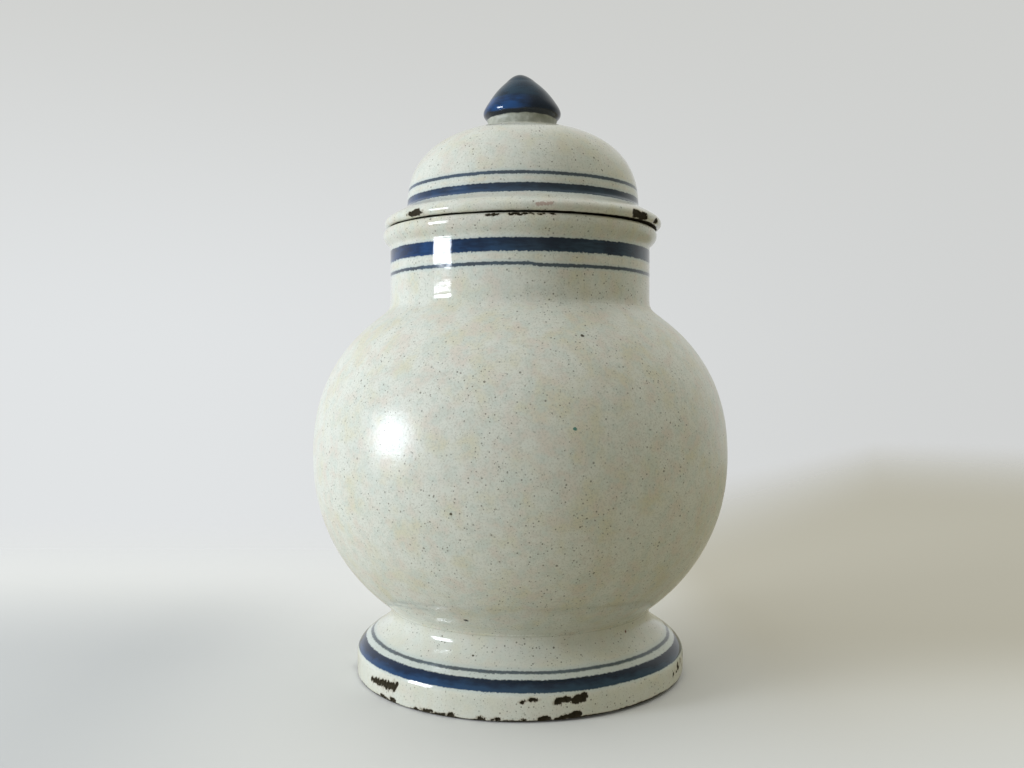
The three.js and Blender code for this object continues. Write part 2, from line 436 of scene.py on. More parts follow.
# Chips that show from the front, then wear of the same kind round the back
FOOT_SCRAPES = [
    Chip(-57.5 + 1.4 * k, 5.2 + 0.13 * k, 2.2, 2.2 + 0.22 * k, lean=-0.5)
    for k in range(11)
]
FOOT_CHIPS = [
    Chip(-50, 0.8, 4.5, 1.2),
    Chip(-45, 1.0, 3.6, 2.4),
    Chip(-30, 0.9, 5.5, 1.5),
    Chip(-22, 1.0, 2.8, 2.0),
    Chip(-12.2, 0.8, 3.2, 1.5),
    Chip(-7, 0.8, 3.0, 1.4),
    Chip(1, 0.6, 2.0, 1.2),
    Chip(6.8, 0.8, 5.0, 2.4),
    Chip(13, 0.8, 5.0, 2.0, lean=-0.4),
    Chip(16.2, 1.4, 5.5, 3.2, lean=-0.5),
    Chip(0.2, 7.4, 2.0, 1.2),
    Chip(3.6, 8.0, 4.2, 1.5, lean=-0.6),
    Chip(11.2, 7.5, 4.0, 2.6, lean=-0.3),
    Chip(13.8, 7.6, 3.6, 2.3),
    Chip(16.8, 7.4, 3.6, 3.6, lean=-0.3),
    Chip(19, 7.6, 3.2, 3.8, lean=-0.3),
    *FOOT_SCRAPES,
    *scattered(13, 8, (61, 80), (3.6, 9.6), (1.2, 3.2), (1.0, 2.6)),
    *scattered(14, 9, (-40, 12), (0.3, 0.8), (1.0, 2.6), (0.8, 1.4)),
    *scattered(11, 10, (95, 275), (0.6, 1.6), (2, 7), (1.2, 2.6)),
    *scattered(12, 5, (110, 260), (5, 8), (2, 5), (1.2, 2.4)),
]
LID_CHIPS = [
    Chip(-46.2, 185.3, 8.8, 2.5),
    Chip(-44.8, 186.0, 4.6, 2.6),
    Chip(48.5, 185.8, 6.0, 4.2),
    Chip(53.5, 185.2, 7.0, 3.8),
    Chip(66.5, 185.0, 4.6, 2.6),
    *scattered(21, 4, (100, 270), (184.8, 186), (3, 8), (1.4, 3)),
]
RIM_CHIPS = [
    *scattered(31, 15, (-12.5, 4), (182.5, 183.2), (1.4, 3.2), (0.9, 1.6)),
    *scattered(32, 6, (4, 13), (182.6, 183.2), (0.9, 1.8), (0.7, 1.0)),
    *scattered(33, 6, (90, 280), (182, 183.2), (1.5, 5), (0.8, 1.6)),
]


def make_foot():
    rest_outer = FOOT_RADIUS - FOOT_EDGE_ROUND
    rest_inner = rest_outer - REST_RING
    inner_foot = rest_inner - FOOT_EDGE_ROUND
    inner_top = WAIST_RADIUS - FOOT_WALL
    flare_top = FOOT_HEIGHT - WAIST_UPRIGHT
    lap_top = BASE_HEIGHT + BASE_EDGE_ROUND + FOOT_LAP
    lap = filleted(0.4, drop_bulge, WAIST_RADIUS, FOOT_FILLET, flare_top, lap_top)
    flare = (
        (FOOT_RADIUS, FOOT_EDGE),
        (FOOT_RADIUS, FOOT_EDGE + FLARE_EASE),
        (WAIST_RADIUS, flare_top - FLARE_EASE),
        (WAIST_RADIUS, flare_top),
    )
    inner_flare = (
        (inner_top, flare_top),
        (inner_top, flare_top - FLARE_EASE),
        (inner_foot, FOOT_EDGE + FLARE_EASE),
        (inner_foot, FOOT_EDGE_ROUND),
    )
    turning = Turning(
        closer_in_front(*FOOT_COLUMNS),
        bezier(1.5, (inner_top, lap_top), (inner_top, flare_top)),
        bezier(2.0, *inner_flare),
        bezier(0.4, (inner_foot, FOOT_EDGE_ROUND), (inner_foot, 0), (rest_inner, 0)),
        bezier(2.0, (rest_inner, 0), (rest_outer, 0)),
        bezier(0.3, (rest_outer, 0), (FOOT_RADIUS, 0), (FOOT_RADIUS, FOOT_EDGE_ROUND)),
        bezier(0.45, (FOOT_RADIUS, FOOT_EDGE_ROUND), (FOOT_RADIUS, FOOT_EDGE)),
        bezier(0.8, *flare),
        lap,
        bezier(2.5, lap[-1], (inner_top, lap_top)),
    )
    fine = turning.grain(1.1, seed=3.1)
    turning.break_off(FOOT_CHIPS, FOOT_CHIP_RAGGED * fine)
    ragged = BARE_RAGGED * fine + BARE_WANDER * turning.grain(8, seed=7.7)
    turning.leave_bare((inner_foot, FOOT_BARE_INSIDE), (FOOT_RADIUS, FOOT_BARE_OUTSIDE), ragged)
    rising = smooth((turning.angle - FOOT_RISE_FROM) / FOOT_RISE_RUN)
    rising = rising * smooth((FOOT_RISE_TO - turning.angle) / FOOT_RISE_RUN)
    raised = FOOT_RISE * rising * (1 - smooth(turning.height / FOOT_RISE_FADE))
    return turning.piece("glazed_foot", raised=raised)


def make_globe():
    floor_top = BASE_HEIGHT + FLOOR_THICKNESS
    hollow_drop = hollow_of(drop_bulge, WALL)
    lip_rise = SHOULDER_RISE - MOUTH_LIP
    hollow_shoulder = bulge_through(BELLY_RADIUS - WALL, SHOULDER_POWER, MOUTH_RADIUS, lip_rise)
    floor_corner = (radius_at(hollow_drop, BELLY_HEIGHT - floor_top), floor_top)
    wall_foot = floor_top + FLOOR_ROUND
    wall_foot_radius = radius_at(hollow_drop, BELLY_HEIGHT - wall_foot)
    floor_edge = (floor_corner[0] - FLOOR_ROUND, floor_top)
    base_flat = (BASE_RADIUS - BASE_EDGE_ROUND, BASE_HEIGHT)
    base_edge = BASE_HEIGHT + BASE_EDGE_ROUND
    turning = Turning(
        evenly(GLOBE_COLUMNS),
        bezier(6, (0, BASE_HEIGHT), base_flat),
        bezier(0.5, base_flat, (BASE_RADIUS, BASE_HEIGHT), (BASE_RADIUS, base_edge)),
        bulge_points(1.4, drop_bulge, BELLY_HEIGHT, -1, BASE_RADIUS)[::-1],
        bulge_points(1.4, shoulder_bulge, BELLY_HEIGHT, 1, NECK_FOOT_RADIUS),
        bezier(3, (NECK_FOOT_RADIUS, SHOULDER_HEIGHT), (MOUTH_RADIUS, SHOULDER_HEIGHT)),
        bezier(1, (MOUTH_RADIUS, SHOULDER_HEIGHT), (MOUTH_RADIUS, SHOULDER_HEIGHT - MOUTH_LIP)),
        bulge_points(2, hollow_shoulder, BELLY_HEIGHT, 1, MOUTH_RADIUS)[::-1],
        bulge_points(2, hollow_drop, BELLY_HEIGHT, -1, wall_foot_radius),
        bezier(1.5, (wall_foot_radius, wall_foot), floor_corner, floor_edge),
        bezier(1.5, floor_edge, (0, floor_top)),
    )
    turning.mark_inside((MOUTH_RADIUS, SHOULDER_HEIGHT - MOUTH_LIP), (0, floor_top))
    turning.mark_outside(base_edge + 2 * FOOT_LAP, SHOULDER_HEIGHT - 2 * NECK_LAP)
    return turning.piece("glazed_globe")


def make_neck():
    wall_foot = SHOULDER_HEIGHT + NECK_FILLET_TOP
    lap = filleted(0.4, shoulder_bulge, NECK_RADIUS, NECK_FILLET, wall_foot, SHOULDER_HEIGHT - NECK_LAP)
    roll_start = RIM_HEIGHT - RIM_ROLL
    nose = RIM_HEIGHT - RIM_NOSE
    roll = (
        (NECK_RADIUS, roll_start),
        (NECK_RADIUS, roll_start + RIM_PROUD / 2),
        (RIM_RADIUS, nose - RIM_PROUD),
        (RIM_RADIUS, nose),
    )
    tucked = (MOUTH_RADIUS + JOINT_LAP, SHOULDER_HEIGHT - JOINT_LAP)
    inner_edge = RIM_HEIGHT - RIM_INNER_ROUND
    rim_flat = (MOUTH_RADIUS + RIM_INNER_ROUND, RIM_HEIGHT)
    turning = Turning(
        closer_in_front(*RIM_COLUMNS),
        bezier(3, tucked, lap[-1]),
        lap[::-1],
        bezier(1.0, (NECK_RADIUS, wall_foot), (NECK_RADIUS, roll_start)),
        bezier(0.45, *roll),
        bezier(0.4, (RIM_RADIUS, nose), (RIM_RADIUS, RIM_HEIGHT), (NECK_RADIUS, RIM_HEIGHT)),
        bezier(0.7, (NECK_RADIUS, RIM_HEIGHT), rim_flat),
        bezier(0.5, rim_flat, (MOUTH_RADIUS, RIM_HEIGHT), (MOUTH_RADIUS, inner_edge)),
        bezier(2, (MOUTH_RADIUS, inner_edge), (MOUTH_RADIUS, SHOULDER_HEIGHT + JOINT_LAP)),
        bezier(0.5, (MOUTH_RADIUS, SHOULDER_HEIGHT + JOINT_LAP), tucked),
    )
    turning.mark_inside((MOUTH_RADIUS, inner_edge), (MOUTH_RADIUS, SHOULDER_HEIGHT + JOINT_LAP))
    fine = turning.grain(1.1, seed=5.3)
    turning.break_off(RIM_CHIPS, RIM_CHIP_RAGGED * fine)
    ragged = BARE_RAGGED * fine + BARE_WANDER * turning.grain(9, seed=2.9)
    turning.leave_bare((NECK_RADIUS, RIM_HEIGHT), rim_flat, ragged)
    return turning.piece("glazed_neck")


def make_lid():
    hollow_dome = hollow_of(dome_bulge, LID_WALL)
    nose = LID_START + NOSE_RISE
    flange_top = LID_START + FLANGE_RISE
    dome_foot = radius_at(dome_bulge, flange_top - DOME_START)
    dome = bulge_points(1.4, dome_bulge, DOME_START, 1, KNOB_SEAT)
    flange = (
        (FLANGE_RADIUS, nose),
        (FLANGE_RADIUS, nose + NOSE_ROUND),
        (dome_foot + NOSE_ROUND / 2, flange_top - NOSE_ROUND),
        (dome_foot, flange_top),
    )
    under_nose = FLANGE_RADIUS - NOSE_ROUND
    turning = Turning(
        closer_in_front(*RIM_COLUMNS),
        bulge_points(2, hollow_dome, DOME_START, 1, 0)[::-1],
        bezier(1.5, (hollow_dome.radius, DOME_START), (hollow_dome.radius, LID_START)),
        bezier(1.2, (hollow_dome.radius, LID_START), (under_nose, LID_START)),
        bezier(0.4, (under_nose, LID_START), (FLANGE_RADIUS, LID_START), (FLANGE_RADIUS, nose)),
        bezier(0.5, *flange),
        dome[dome[:, 1] > flange_top],
        bezier(3, (KNOB_SEAT, SEAT_HEIGHT), (0, SEAT_HEIGHT)),
    )
    turning.mark_inside((0, DOME_START + hollow_dome.rise), (hollow_dome.radius, DOME_START))
    fine = turning.grain(1.2, seed=9.4)
    turning.break_off(LID_CHIPS, LID_CHIP_RAGGED * fine)
    ragged = BARE_RAGGED * fine + BARE_WANDER * turning.grain(9, seed=4.2)
    # The bare seat is partly real wiped clay, and where it runs onto the nose it is painted shade of the
    # gap over the rim.
    turning.leave_bare((hollow_dome.radius, LID_START), (under_nose + SEAT_BARE_AND_GAP_SHADE, LID_START), ragged)
    return turning.piece("glazed_lid", LID_SHIFT)


def make_collar():
    top = LID_START + JOINT_LAP
    low = COLLAR_BOTTOM
    low_round = low + COLLAR_ROUND
    inner = COLLAR_RADIUS - COLLAR_WALL
    inner_round = inner + COLLAR_ROUND
    outer_round = COLLAR_RADIUS - COLLAR_ROUND
    turning = Turning(
        evenly(COLLAR_COLUMNS),
        bezier(1, (inner, top), (inner, low_round)),
        bezier(0.4, (inner, low_round), (inner, low), (inner_round, low)),
        bezier(1, (inner_round, low), (outer_round, low)),
        bezier(0.4, (outer_round, low), (COLLAR_RADIUS, low), (COLLAR_RADIUS, low_round)),
        bezier(1, (COLLAR_RADIUS, low_round), (COLLAR_RADIUS, top)),
        bezier(1.5, (COLLAR_RADIUS, top), (inner, top)),
    )
    turning.ridges += COLLAR_UNEVEN * (turning.grain(2.5, seed=1.7) - 1)
    return turning.piece("clay_collar", LID_SHIFT)


def make_knob():
    bottom = SEAT_HEIGHT - JOINT_LAP
    cone_start = np.array([KNOB_RADIUS - KNOB_EDGE_INSET, KNOB_WIDEST + KNOB_EDGE])
    cone_end = np.array([TIP_RADIUS, KNOB_TIP - TIP_HEIGHT])
    flank = (cone_start + cone_end) / 2 + KNOB_SWELL
    widening = (
        (STEM_RADIUS, KNOB_NARROW),
        (STEM_RADIUS, KNOB_NARROW + KNOB_WIDEN / 2),
        (KNOB_RADIUS, KNOB_WIDEST - KNOB_WIDEN / 2),
        (KNOB_RADIUS, KNOB_WIDEST),
    )
    stem_edge = (KNOB_SEAT + JOINT_LAP, bottom)
    stem_round = (STEM_RADIUS, KNOB_NARROW - STEM_HEIGHT * 2 / 3)
    turning = Turning(
        evenly(KNOB_COLUMNS),
        bezier(3, (0, bottom), stem_edge),
        bezier(0.5, stem_edge, stem_round, (STEM_RADIUS, KNOB_NARROW)),
        bezier(0.5, *widening),
        bezier(0.5, (KNOB_RADIUS, KNOB_WIDEST), (KNOB_RADIUS, KNOB_WIDEST + KNOB_EDGE / 3), cone_start),
        bezier(0.7, cone_start, flank, cone_end),
        bezier(0.5, cone_end, (TIP_BLUNT, KNOB_TIP), (0, KNOB_TIP)),
    )
    uneven = KNOB_UNEVEN * turning.grain(7, seed=6.1)
    turning.ridges += uneven * smooth((KNOB_TIP - turning.height) / TIP_EVEN)
    return turning.piece("glazed_knob", LID_SHIFT + KNOB_ASIDE, KNOB_LEAN)


class Nodes:
    """Adds nodes to one node tree. The methods give output sockets, which the next ones take."""

    def __init__(self, tree):
        self.tree = tree

    def feed(self, socket, value):
        if isinstance(value, bpy.types.NodeSocket):
            self.tree.links.new(value, socket)
        else:
            socket.default_value = value

    def add(self, kind, inputs=(), **settings):
        node = self.tree.nodes.new("ShaderNode" + kind)
        for key, value in settings.items():
            setattr(node, key, value)
        for key, value in dict(inputs).items():
            self.feed(node.inputs[key], value)
        return node

    def math(self, operation, first, second=0.0):
        return self.add("Math", {0: first, 1: second}, operation=operation).outputs[0]

    def times(self, first, second):
        return self.math("MULTIPLY", first, second)

    def plus(self, first, second):
        return self.math("ADD", first, second)

    def ramp(self, value, low, high):
        """Eased step from 0 to 1 as the value goes from low to high."""
        inputs = {"Value": value, "From Min": low, "From Max": high}
        return self.add("MapRange", inputs, interpolation_type="SMOOTHSTEP").outputs["Result"]

    def mix(self, share, first, second):
        inputs = {0: share, 6: first, 7: second}
        return self.add("Mix", inputs, data_type="RGBA", clamp_factor=True).outputs[2]

    def fade(self, value, reach, first, second):
        """One colour into another as the value goes through a pair of numbers."""
        return self.mix(self.ramp(value, *reach), first, second)

    def blend(self, share, first, second):
        return self.add("Mix", {0: share, 2: first, 3: second}, clamp_factor=True).outputs[0]

    def noise(self, place, size, detail=2.0):
        inputs = {"Vector": place, "Scale": 1 / size, "Detail": detail}
        return self.add("TexNoise", inputs).outputs[0]

    def swing(self, place, size, reach, detail=2.0):
        """Noise from about -reach to reach."""
        return self.times(self.math("SUBTRACT", self.noise(place, size, detail), 0.5), 2 * reach)

    def split(self, place):
        return self.add("SeparateXYZ", {0: place}).outputs

    def stretched(self, place, scale):
        return self.add("VectorMath", {0: place, 1: scale}, operation="MULTIPLY").outputs[0]

    def moved(self, place, distance):
        return self.add("VectorMath", {0: place, 1: (distance,) * 3}, operation="ADD").outputs[0]

    def attribute(self, name):
        return self.add("Attribute", attribute_name=name).outputs["Fac"]


# Colours, linear
GLAZE_PLAIN = (0.68, 0.69, 0.62, 1)
GLAZE_OCHRE = (0.63, 0.60, 0.44, 1)
GLAZE_PINK = (0.66, 0.595, 0.515, 1)
GLAZE_GREY = (0.58, 0.63, 0.57, 1)
GLAZE_GRAIN = (0.44, 0.44, 0.37, 1)
GLAZE_HALO = (0.50, 0.57, 0.56, 1)
# Olive glaze of the knob's stem: darker partly by its own tint and partly as painted shade under the
# knob's overhang.
GLAZE_STEM_OLIVE_SHADE = (0.30, 0.31, 0.25, 1)
GLAZE_THIN = (0.26, 0.19, 0.12, 1)
GLAZE_SCUFFED = (0.46, 0.36, 0.31, 1)
PAINT_DEEP = (0.004, 0.012, 0.026, 1)
PAINT_PALE = (0.021, 0.050, 0.079, 1)
# Lit copies of the pale and the deep paint, bluer where the bluish window light falls from the left:
# painted light.
PAINT_WINDOW_BLUE = (0.011, 0.058, 0.180, 1)
PAINT_DEEP_WINDOW_BLUE = (0.005, 0.021, 0.063, 1)
PAINT_SLATE = (0.015, 0.041, 0.068, 1)
PAINT_BLACK = (0.003, 0.008, 0.016, 1)
SPECK_DARK = (0.080, 0.068, 0.042, 1)
SPECK_FAINT = (0.22, 0.20, 0.13, 1)
SPECK_TEAL = (0.08, 0.22, 0.18, 1)
SPECK_RUST = (0.16, 0.075, 0.055, 1)
CLAY_DARK = (0.008, 0.007, 0.004, 1)
CLAY_PALE = (0.060, 0.048, 0.028, 1)
COLLAR_DARK = (0.048, 0.035, 0.021, 1)
COLLAR_PALE = (0.11, 0.077, 0.047, 1)

# Patches and specks of the glaze. Specks are stronger where clouds of noise lie.
PATCHES = [
    Patch(GLAZE_OCHRE, 11, 0, 0.68),
    Patch(GLAZE_PINK, 7, 90, 0.65),
    Patch(GLAZE_GREY, 4.5, 40, 0.6),
    Patch(GLAZE_GRAIN, 0.7, 20, 0.4),
]
PATCH_NOISE = (0.44, 0.70)
SPECK_KINDS = [
    SpeckKind(0.8, 0.12, 0.24, 0.7, 0.35, 0.75, SPECK_FAINT),
    SpeckKind(1.5, 0.20, 0.38, 0.7, 0.45, 0.95, SPECK_DARK),
    SpeckKind(4.2, 0.32, 0.50, 0.4, 0.65, 1.00, SPECK_DARK),
]
SPECK_EDGE = 0.1
CLOUD_SIZE = 24
CLOUD_NOISE = (0.35, 0.60)

# Single marks in the glaze
SPOT_GRAIN = 0.8
SPOT_RAGGED = 0.6
SPOT_CORE = 0.6
FOOT_SPOTS = [Spot(48.4, 54.8, 23.6, 0.6, SPECK_RUST), Spot(-18.1, 57.3, 19.8, 0.55, SPECK_DARK)]
LID_SPOTS = [
    Spot(6.0 + 1.2 * k, FLANGE_RADIUS, 186.1 + 0.1 * k, 0.95, GLAZE_SCUFFED)
    for k in range(5)
]
GLOBE_SPOTS = [
    Spot(18.1, 69.5, 137.9, 0.8, CLAY_PALE),
    Spot(12.2, 85.1, 105.9, 0.8, SPECK_TEAL),
    Spot(-16.4, 85.4, 76.8, 0.7, SPECK_DARK),
    Spot(-18.6, 63.1, 34.5, 1.1, CLAY_DARK),
]

# Bands of brushed paint, and how the brush leaves them. The last number is how far a band turns bluer to
# the left, as painted light of the bluish window.
FOOT_BANDS = [
    Band(10.7, 14.4, 140, 0.3, 0.3, 1.0, 0.9, 0.6),
    Band(15.8, 16.6, -150, 0.4, 0.2, 0.85, 0, 0.1),
]
NECK_BANDS = [
    Band(169.6, 174.8, 160, 0.4, 0.45, 1.0, 0.2, 1),
    Band(163.7, 165.0, 8.5, -0.6, 0.4, 0.9, 0, 0.3),
]
LID_BANDS = [
    Band(192.3, 195.9, -140, 0.3, 0.3, 0.97, 0.4, 0.85),
    Band(199.3, 200.6, 120, 0.5, 0.25, 0.9, 0, 0.5),
]
BAND_JOIN = 0.985
BAND_WANDER = 0.4
BAND_WANDER_SIZE = 24
BAND_EDGE_SIZE = 1.0
BAND_LOWER_SIZE = 0.5
BAND_LOWER_SHARE = 0.8
BAND_SOFT = 0.18
HALO_WIDTH = 1.4
HALO_SHARE = 0.6
STREAK_STRETCH = (0.3, 0.3, 1.3)
STREAK_SIZE = 1.3
STREAK_SHARE = 0.55
LOAD_SIZE = 13
LOAD_SHARE = 0.95
# Across the jar the bands turn bluer towards the left: painted light of the bluish window.
BAND_WINDOW_SIDE = (15.0, -45.0)
BAND_DENSITY = (0.45, 1.0)

# Strokes on the knob. Pairs are where a blend starts and ends, across the knob or in height.
KNOB_WAVER = 0.5
KNOB_WAVER_SIZE = 5
# Across the knob the strokes turn bluer to the left: painted light of the bluish window.
KNOB_WINDOW_SIDE = (6.0, -3.0)
KNOB_SLATE = (KNOB_WIDEST + 3.6, KNOB_WIDEST + 6.0)
KNOB_HEM = (KNOB_WIDEST - 1.6, KNOB_WIDEST - 2.7)
KNOB_HEM_STROKES = 2.0
KNOB_STEM = (KNOB_WIDEST - 3.1, KNOB_WIDEST - 2.7)
KNOB_STEM_GLOSS = (KNOB_WIDEST - 3.2, KNOB_WIDEST - 2.4)
STEM_ROUGHNESS = 0.45
STEM_SIZE = 4
STEM_NOISE = (0.35, 0.95)
STROKE_STRETCH = (0.35, 0.35, 1.0)
STROKE_SIZE = 2.6
STROKE_NOISE = (0.40, 0.70)
STROKE_SHARE = 0.7

# Gloss, wear and skin of the glaze
GLOSS_DRIFT = 0.05
GLOSS_SIZE = 5
WEAR_STRETCH = (1.0, 1.0, 0.45)
WEAR_COARSE = 0.5
WEAR_COARSE_SIZE = 0.9
WEAR_FINE = 0.3
WEAR_FINE_SIZE = 0.4
WEAR_BARE = (-0.06, 0.06)
WEAR_THIN = (-0.5, 0.1)
WEAR_THIN_SHARE = 0.55
CLAY_SIZE = 0.9
CLAY_ROUGHNESS = 0.75
GLAZE_SPECULAR = 0.5
CLAY_SPECULAR = 0.1
DIMPLE_SIZE = 1.1
WAVE_SIZE = 6
WAVE_HEIGHT = 2.5
GRIT_SIZE = 0.5
GRIT_HEIGHT = 6.0
SKIN_STRENGTH = 0.8
SKIN_DISTANCE = 0.00002

# Bare clay of the ring under the lid
LINE_STRETCH = (0.1, 0.1, 1.5)
LINE_SIZE = 1.0
LINE_SHARE = 0.5
GRAIN_SIZE = 1.4
GRAIN_SHARE = 0.6
CLAY_TONE = (0.3, 0.8)
COLLAR_ROUGHNESS = 0.65
COLLAR_DRIFT = 0.25
COLLAR_STRENGTH = 0.7
COLLAR_DISTANCE = 0.0002


def specks(nodes, place, kind):
    """Round specks of one kind, with radii from its least to its most, in a share of its cells."""
    voronoi = nodes.add("TexVoronoi", {"Vector": place, "Scale": 1 / kind.cell})
    drawn = nodes.add("SeparateColor", {"Color": voronoi.outputs["Color"]}).outputs
    inputs = {"Value": drawn[0], "To Min": kind.least / kind.cell, "To Max": kind.most / kind.cell}
    radius = nodes.add("MapRange", inputs).outputs["Result"]
    over = nodes.math("SUBTRACT", radius, voronoi.outputs["Distance"])
    present = nodes.math("LESS_THAN", drawn[1], kind.share)
    return nodes.times(present, nodes.ramp(over, 0.0, SPECK_EDGE / kind.cell))


def spot_cover(nodes, place, spot):
    """Where a single mark lies, with a ragged edge."""
    turn = math.radians(spot.angle)
    centre = (spot.radius * math.sin(turn), -spot.radius * math.cos(turn), spot.height)
    distance = nodes.add("VectorMath", {0: place, 1: centre}, operation="DISTANCE").outputs["Value"]
    ragged = nodes.plus(distance, nodes.swing(place, SPOT_GRAIN, SPOT_RAGGED))
    return nodes.ramp(ragged, spot.size, spot.size * SPOT_CORE)


def glaze_colour(nodes, place, glaze, spots):
    """Off-white glaze with patches, specks and single marks."""
    colour = GLAZE_PLAIN
    for patch in PATCHES:
        lumps = nodes.noise(nodes.moved(place, patch.seed), patch.size, 3)
        share = nodes.times(nodes.ramp(lumps, *PATCH_NOISE), patch.share * glaze.mottle)
        colour = nodes.mix(share, colour, patch.colour)
    cloud = nodes.ramp(nodes.noise(place, CLOUD_SIZE), *CLOUD_NOISE)
    for kind in SPECK_KINDS:
        strength = nodes.blend(cloud, kind.faint * glaze.speckle, kind.strong * glaze.speckle)
        share = nodes.times(specks(nodes, place, kind), strength)
        colour = nodes.mix(share, colour, kind.colour)
    for spot in spots:
        colour = nodes.mix(spot_cover(nodes, place, spot), colour, spot.colour)
    return colour


def band_paint(nodes, place, across, level, band):
    """Colour of a band: streaky, unevenly loaded, denser where it settles, and bluer to the left as
    painted light of the bluish window.
    """
    streaks = nodes.noise(nodes.stretched(place, STREAK_STRETCH), STREAK_SIZE, 3)
    streaks = nodes.times(streaks, STREAK_SHARE)
    load = nodes.times(nodes.noise(place, LOAD_SIZE, 3), LOAD_SHARE)
    inputs = {"Value": level, "From Min": band.low, "From Max": band.high}
    upward = nodes.add("MapRange", inputs).outputs["Result"]
    settled = nodes.times(nodes.math("SUBTRACT", upward, 0.5), band.settle)
    density = nodes.plus(nodes.plus(streaks, load), settled)
    # Bluer to the left: painted light of the bluish window.
    royal = nodes.times(nodes.ramp(across, *BAND_WINDOW_SIDE), band.royal)
    pale = nodes.mix(royal, PAINT_PALE, PAINT_WINDOW_BLUE)
    deep = nodes.mix(royal, PAINT_DEEP, PAINT_DEEP_WINDOW_BLUE)
    return nodes.fade(density, BAND_DENSITY, pale, deep)


def paint_band(nodes, place, across, height, turns, band, colour):
    """One brushed ring over a colour, with ragged edges and a pale greenish halo."""
    start = nodes.math("FRACT", nodes.math("SUBTRACT", turns, band.start / 360))
    joined = nodes.math("SUBTRACT", start, nodes.ramp(start, BAND_JOIN, 1.0))
    drift = nodes.times(joined, band.slip)
    wander = nodes.swing(place, BAND_WANDER_SIZE, BAND_WANDER)
    level = nodes.plus(nodes.plus(height, drift), wander)
    upper = nodes.plus(level, nodes.swing(place, BAND_EDGE_SIZE, band.ragged, 1))
    frayed = nodes.swing(place, BAND_LOWER_SIZE, band.ragged * BAND_LOWER_SHARE, 1)
    lower = nodes.plus(upper, frayed)
    above = nodes.ramp(lower, band.low - BAND_SOFT, band.low + BAND_SOFT)
    below = nodes.ramp(upper, band.high + BAND_SOFT, band.high - BAND_SOFT)
    cover = nodes.times(above, below)
    rising = nodes.ramp(level, band.low - HALO_WIDTH, band.low)
    falling = nodes.ramp(level, band.high + HALO_WIDTH, band.high)
    halo = nodes.times(rising, falling)
    colour = nodes.mix(nodes.times(halo, HALO_SHARE), colour, GLAZE_HALO)
    paint = band_paint(nodes, place, across, level, band)
    return nodes.mix(nodes.times(cover, band.weight), colour, paint)


def with_bands(nodes, place, plain, bands):
    """The bands over the plain glaze, on the outside only."""
    x, y, height = nodes.split(place)
    angle = nodes.math("ARCTAN2", x, nodes.times(y, -1.0))
    turns = nodes.math("DIVIDE", angle, 2 * math.pi)
    colour = plain
    for band in bands:
        colour = paint_band(nodes, place, x, height, turns, band, colour)
    return nodes.mix(nodes.attribute("outside"), plain, colour)


def knob_colour(nodes, place, height, colour):
    """Dark blue strokes over the knob down to a ragged edge, bluer to the left as painted light of the
    bluish window, and a dull stem under it, its pale glaze darkened partly by an olive tint and partly by
    painted shade of the knob's overhang.
    """
    level = nodes.plus(height, nodes.swing(place, KNOB_WAVER_SIZE, KNOB_WAVER))
    strokes = nodes.noise(nodes.stretched(place, STROKE_STRETCH), STROKE_SIZE, 3)
    across = nodes.split(place)[0]
    # Bluer to the left: painted light of the bluish window.
    paint = nodes.fade(across, KNOB_WINDOW_SIDE, PAINT_DEEP, PAINT_WINDOW_BLUE)
    paint = nodes.fade(level, KNOB_SLATE, paint, PAINT_SLATE)
    dark = nodes.times(nodes.ramp(strokes, *STROKE_NOISE), STROKE_SHARE)
    paint = nodes.mix(dark, paint, PAINT_DEEP)
    low = nodes.math("SUBTRACT", level, nodes.times(strokes, KNOB_HEM_STROKES))
    paint = nodes.fade(low, KNOB_HEM, paint, PAINT_BLACK)
    # The stem's darker olive patches are partly tint and partly painted shade under the knob's overhang.
    clear = nodes.ramp(nodes.noise(place, STEM_SIZE, 3), *STEM_NOISE)
    stem = nodes.mix(clear, GLAZE_STEM_OLIVE_SHADE, colour)
    return nodes.fade(level, KNOB_STEM, stem, paint)


def glaze_gloss(nodes, place, height, roughness):
    """Roughness that drifts a little above the least one, which goes by pairs of height and roughness."""
    least = roughness[0][1]
    for (low, _), (high, following) in zip(roughness, roughness[1:]):
        least = nodes.blend(nodes.ramp(height, low, high), least, following)
    drift = nodes.times(nodes.noise(place, GLOSS_SIZE), GLOSS_DRIFT)
    return nodes.plus(drift, least)


def worn_depth(nodes, place):
    """The wear of the mesh with a ragged edge, above 0 where the clay is bare."""
    upright = nodes.stretched(place, WEAR_STRETCH)
    coarse = nodes.swing(upright, WEAR_COARSE_SIZE, WEAR_COARSE)
    fine = nodes.swing(upright, WEAR_FINE_SIZE, WEAR_FINE, 1)
    return nodes.plus(nodes.attribute("wear"), nodes.plus(coarse, fine))


def glaze_relief(nodes, place, peel, bare):
    """Height of the skin: dimples and waves in the glaze, grit where the clay is bare."""
    dimples = nodes.times(nodes.noise(place, DIMPLE_SIZE, 2), peel)
    waves = nodes.times(nodes.noise(place, WAVE_SIZE, 2), WAVE_HEIGHT)
    grit = nodes.times(nodes.noise(place, GRIT_SIZE, 3), GRIT_HEIGHT)
    return nodes.blend(bare, nodes.plus(dimples, waves), grit)


def new_surface(name):
    """A material, what adds nodes to it, and the node of its surface."""
    material = bpy.data.materials.new(name)
    material.use_nodes = True
    tree = material.node_tree
    return material, Nodes(tree), tree.nodes["Principled BSDF"]


def place_on_piece(nodes):
    """The shaded place, in millimetres."""
    metres = nodes.add("TexCoord").outputs["Object"]
    return nodes.add("VectorMath", {0: metres, "Scale": 1 / MM}, operation="SCALE").outputs[0]


